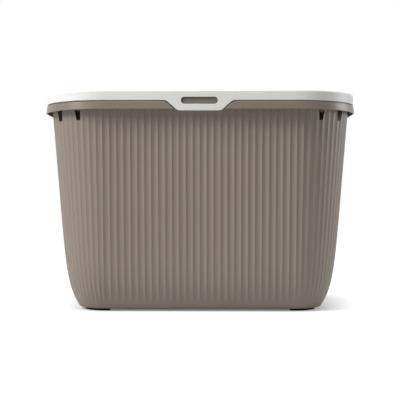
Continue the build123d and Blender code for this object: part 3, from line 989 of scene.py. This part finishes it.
def knuckle_shells(plan, lid, hinge):
    """A knuckle for each pin: a barrel on a web that runs up the lid's skirt."""
    skirt = skirt_foot(lid)
    root = CENTRE_Y + plan.half_depth - lid.inset - plan.wall / 2
    level = np.pi - np.arcsin((skirt - HINGE_Z) / hinge.knuckle_radius)
    end = 2.25 * np.pi  # where the barrel meets the web's outer side, 45 degrees above level
    barrel = circle(hinge.knuckle_radius, (HINGE_Y, HINGE_Z), level, end - level, steps=26)
    outline = np.concatenate([[[root, skirt]], barrel, [[root, skirt + hinge.web]]])
    parts = []
    for x in (-hinge.spacing / 2, hinge.spacing / 2):
        ends = x - hinge.knuckle_width / 2, x + hinge.knuckle_width / 2
        parts += to_side(plate([outline, pin_hole(hinge)], *ends, SOFT_EDGE))
    return parts


class LITTERBOX_OT_lid(bpy.types.Operator):
    """Build the lid with its tab, slot and knuckles"""

    bl_idname = "litterbox.lid"
    bl_label = "Hinged Lid"
    bl_options = {"REGISTER", "UNDO"}

    def execute(self, context):
        scene = context.scene
        plan, lid = scene.box_plan, scene.box_lid
        parts = cut(lid_shell(plan, lid), slot_cutter(plan, lid))
        parts += knuckle_shells(plan, lid, scene.box_hinge)
        material = moulded_plastic("White lid", scene.box_finishes.lid)
        add_part("hinged_lid", parts, material, "lid", "lid")
        return {"FINISHED"}


# ---- the tread panel


def panel_shells(plan, lid, panel):
    """The plate with its slots and entry hole, its rim, treads and collar, and the ribs below."""
    centre = np.array([0, CENTRE_Y])
    path = rounded_path(plan_half(plan), centre, [SIDE] * 4, TURN)
    border = plan.rim_radius - lid.inset - lid.border
    edge = border - panel.gap
    low = RIM_HIGH[2] + lid.lift + plan.wall + lid.lift
    high = low + panel.wall
    treads = high + panel.tread_rise

    entry = np.array([panel.entry_length, panel.entry_depth]) / 2 - panel.entry_corner
    entry_path = rounded_path(entry, centre + (panel.entry_centre, 0), [SIDE] * 4, TURN)
    hole = entry_path[0] + (panel.entry_corner + panel.collar / 2) * entry_path[1]
    column = (np.arange(panel.columns) - (panel.columns - 1) / 2) * panel.column_pitch
    row = (np.arange(panel.rows) - (panel.rows - 1) / 2) * panel.row_pitch
    slots = [
        stadium(panel.slot_width, panel.slot_length, centre + (x - panel.slots_centre, y))[::-1]
        for x in column
        for y in row
    ]
    parts = plate([path[0] + edge * path[1], hole[::-1]] + slots, low, high, SOFT_EDGE)

    def box_section(inner, outer, foot, head, radii):
        """A rectangular section as (radius, height), its corners rounded by radii in millimetres."""
        return rounded_section(rectangle(inner, outer, foot, head), np.array(radii) * MM, steps=3)

    merged = low + MERGE
    parts += ring(path, box_section(edge - panel.tread, edge, merged, treads, (0, 0, 0.7, 0.7)))
    collar = (0.5, 0.5, panel.collar_round / MM, panel.collar_round / MM)
    inner = panel.entry_corner
    section = box_section(inner, inner + panel.collar, PANEL_LOW[2], PANEL_HIGH[2], collar)
    parts += ring(entry_path, section)
    rib = border - lid.ledge - panel.rib_gap
    foot = low - panel.rib_depth
    parts += ring(path, box_section(rib - panel.rib, rib, foot, merged, (0.4, 0.4, 0, 0)))
    reach = (panel.rows - 1) / 2 * panel.row_pitch + panel.slot_length / 2
    for x in (column[1:] + column[:-1]) / 2 - panel.slots_centre:
        loop = rectangle(x - panel.tread / 2, x + panel.tread / 2, CENTRE_Y - reach, CENTRE_Y + reach)
        parts += plate([loop], merged, treads, TREAD_EDGE)
    ends = panel.columns * panel.column_pitch / 2 + panel.rib
    left, right = -panel.slots_centre - ends, -panel.slots_centre + ends
    for y in CENTRE_Y + (row[1:] + row[:-1]) / 2:
        loop = rectangle(left, right, y - panel.rib / 2, y + panel.rib / 2)
        parts += plate([loop], foot, merged, SOFT_EDGE)
    return parts


class LITTERBOX_OT_panel(bpy.types.Operator):
    """Build the tread panel that drops into the lid"""

    bl_idname = "litterbox.panel"
    bl_label = "Tread Panel"
    bl_options = {"REGISTER", "UNDO"}

    def execute(self, context):
        scene = context.scene
        parts = panel_shells(scene.box_plan, scene.box_lid, scene.box_panel)
        material = moulded_plastic("White panel", scene.box_finishes.panel)
        add_part("slotted_panel", parts, material, "tread_panel", "tread_panel")
        return {"FINISHED"}


# ---- pins and pads


class LITTERBOX_OT_pins(bpy.types.Operator):
    """Build the two hinge pins"""

    bl_idname = "litterbox.pins"
    bl_label = "Hinge Pins"
    bl_options = {"REGISTER", "UNDO"}

    def execute(self, context):
        scene = context.scene
        hinge = scene.box_hinge
        material = moulded_plastic("Mocha pin", scene.box_finishes.rim)
        far, near = PIN_HIGH[0], PIN_LOW[0]
        chamfer = SOFT_EDGE
        # From the plain end to the head, whose outer edge falls away in two steps
        profile = [
            (near, hinge.pin_radius - chamfer),
            (near + chamfer, hinge.pin_radius),
            (far - hinge.head, hinge.pin_radius),
            (far - hinge.head, hinge.head_radius - SMALL),
            (far - hinge.head + SMALL, hinge.head_radius),
            (far - chamfer, hinge.head_radius),
            (far - SMALL, hinge.head_radius - 0.7 * chamfer),
            (far, hinge.head_radius - 1.6 * chamfer),
        ]
        for name, mirror in (("right", 1), ("left", -1)):
            shape = [(mirror * x, radius) for x, radius in profile][::mirror]
            shell = turned(shape, HINGE_Y, HINGE_Z)
            node = f"hinge_pin_{name}"
            add_part(f"pin_{name}", shell, material, "base", node, flat_faces=False)
        return {"FINISHED"}


class LITTERBOX_OT_pads(bpy.types.Operator):
    """Build the four rubber pads"""

    bl_idname = "litterbox.pads"
    bl_label = "Rubber Pads"
    bl_options = {"REGISTER", "UNDO"}

    def execute(self, context):
        scene = context.scene
        pads = scene.box_pads
        material = moulded_plastic("Black rubber", scene.box_finishes.rubber)
        for name, sides in CORNERS.items():
            outline = pad_outline(scene.box_plan, pads, *sides, 0.0)
            shell = plate([outline], 0.0, TUB_LOW[2] + pads.pocket, pads.edge)
            add_part(f"rubber_pad_{name}", shell, material, "base", f"foot_{name}")
        return {"FINISHED"}


# ---- the studio


def area_lamp(name, place, target, width, height, watts):
    """A rectangular lamp at a place, turned to face a target."""
    light = bpy.data.lights.new(name, "AREA")
    light.shape = "RECTANGLE"
    light.size, light.size_y = width, height
    light.energy = watts
    lamp = bpy.data.objects.new(name, light)
    lamp.location = place
    lamp.rotation_euler = (Vector(target) - Vector(place)).to_track_quat("-Z", "Y").to_euler()
    bpy.context.scene.collection.objects.link(lamp)


def seen_factor(tree):
    """1 for rays that show the background: camera, glossy and transmission rays."""
    path = add_node(tree, "LightPath")
    factor = path.outputs["Is Camera Ray"]
    for name in ("Is Glossy Ray", "Is Transmission Ray"):
        larger = add_node(tree, "Math", {0: factor, 1: path.outputs[name]}, operation="MAXIMUM")
        factor = larger.outputs[0]
    return factor


def studio_world(ambient):
    """White where it is seen, and a low even light on everything else."""
    world = bpy.data.worlds.new("Studio")
    bpy.context.scene.world = world
    world.use_nodes = True
    tree = world.node_tree
    span = {"To Min": ambient, "To Max": 1.0, "Value": seen_factor(tree)}
    level = add_node(tree, "MapRange", span).outputs["Result"]
    set_inputs(tree, tree.nodes["Background"], {"Color": WHITE, "Strength": level})


def footprint_distance(tree, plan):
    """Distance from the rectangle of corner centres: the length of max(|place - centre| - half, 0)."""
    value = add_node(tree, "TexCoord").outputs["Object"]
    steps = (
        ("SUBTRACT", (0.0, CENTRE_Y, 0.0)),
        ("ABSOLUTE", (0.0, 0.0, 0.0)),
        ("SUBTRACT", (*plan_half(plan), 0.0)),
        ("MAXIMUM", (0.0, 0.0, 0.0)),
    )
    for operation, operand in steps:
        step = add_node(tree, "VectorMath", {0: value, 1: operand}, operation=operation)
        value = step.outputs["Vector"]
    return add_node(tree, "VectorMath", {0: value}, operation="LENGTH").outputs["Value"]


def floor_material(plan):
    """A pale floor that keeps the box's shadow, and fades to plain white away from the box."""
    material = bpy.data.materials.new("Floor")
    material.use_nodes = True
    tree = material.node_tree
    tree.nodes.remove(tree.nodes["Principled BSDF"])
    diffuse = add_node(tree, "BsdfDiffuse", {"Color": (FLOOR_SHADE, FLOOR_SHADE, FLOOR_SHADE, 1.0)})
    span = {"From Max": FLOOR_FADE, "Value": footprint_distance(tree, plan)}
    fade = add_node(tree, "MapRange", span).outputs["Result"]
    seen = add_node(tree, "Math", {0: fade, 1: seen_factor(tree)}, operation="MULTIPLY")
    glow = add_node(tree, "Emission", {"Color": WHITE, "Strength": seen.outputs[0]})
    both = add_node(tree, "AddShader", {0: diffuse.outputs[0], 1: glow.outputs[0]})
    set_inputs(tree, tree.nodes["Material Output"], {"Surface": both.outputs[0]})
    return material


class LITTERBOX_OT_studio(bpy.types.Operator):
    """Set up the floor, the lamps and the camera"""

    bl_idname = "litterbox.studio"
    bl_label = "Studio"
    bl_options = {"REGISTER", "UNDO"}

    def execute(self, context):
        studio = context.scene.box_studio
        outline = rectangle(-FLOOR_HALF, FLOOR_HALF, -FLOOR_HALF, FLOOR_HALF)
        corners = np.column_stack([outline, np.zeros(4)])
        material = floor_material(context.scene.box_plan)
        floor = make_piece("floor", [(corners, [[0, 1, 2, 3]])], material)
        for name, (place, target, width, height) in LAMPS.items():
            area_lamp(f"{name}_lamp", place, target, width, height, getattr(studio, name))
        studio_world(studio.ambient)

        lens = bpy.data.cameras.new("camera")
        lens.lens = studio.lens
        lens.sensor_width = SENSOR
        lens.shift_y = studio.shift
        camera = bpy.data.objects.new("camera", lens)
        turn = np.radians(studio.turn)
        reach = studio.distance - RIM_LOW[1]
        aim = np.array([np.sin(turn), -np.cos(turn)])
        across = np.array([np.cos(turn), np.sin(turn)])
        camera.location = (*(reach * aim + studio.aside * across), studio.height)
        camera.rotation_euler = (np.pi / 2, 0.0, turn)
        context.scene.collection.objects.link(camera)
        context.scene.camera = camera
        context.scene.view_settings.view_transform = "Standard"
        return {"FINISHED"}


# ---- the panel and the run


OPERATORS = (
    LITTERBOX_OT_studio,
    LITTERBOX_OT_tub,
    LITTERBOX_OT_rim,
    LITTERBOX_OT_lid,
    LITTERBOX_OT_panel,
    LITTERBOX_OT_pins,
    LITTERBOX_OT_pads,
)
SETTINGS = {
    "box_plan": PlanSizes,
    "box_tub": TubSizes,
    "box_rim": RimSizes,
    "box_hinge": HingeSizes,
    "box_lid": LidSizes,
    "box_panel": PanelSizes,
    "box_pads": PadSizes,
    "box_finishes": PlasticFinishes,
    "box_studio": StudioSettings,
}


class LITTERBOX_PT_build(bpy.types.Panel):
    """The builder's buttons and sizes"""

    bl_label = "Litter Box"
    bl_space_type = "VIEW_3D"
    bl_region_type = "UI"
    bl_category = "Litter Box"

    def draw(self, context):
        for operator in OPERATORS:
            self.layout.operator(operator.bl_idname)
        for name, group in SETTINGS.items():
            column = self.layout.box().column()
            for size in group.__annotations__:
                column.prop(getattr(context.scene, name), size)


def register():
    """Registers the settings, the operators and the panel."""
    for name, group in SETTINGS.items():
        bpy.utils.register_class(group)
        setattr(bpy.types.Scene, name, bpy.props.PointerProperty(type=group))
    for item in OPERATORS + (LITTERBOX_PT_build,):
        bpy.utils.register_class(item)


def unregister():
    """Removes what register added."""
    for item in (LITTERBOX_PT_build,) + OPERATORS[::-1]:
        bpy.utils.unregister_class(item)
    for name, group in SETTINGS.items():
        delattr(bpy.types.Scene, name)
        bpy.utils.unregister_class(group)


def main():
    """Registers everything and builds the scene."""
    register()
    for item in OPERATORS:
        getattr(bpy.ops.litterbox, item.bl_idname.split(".")[1])()


if __name__ == "__main__":
    main()
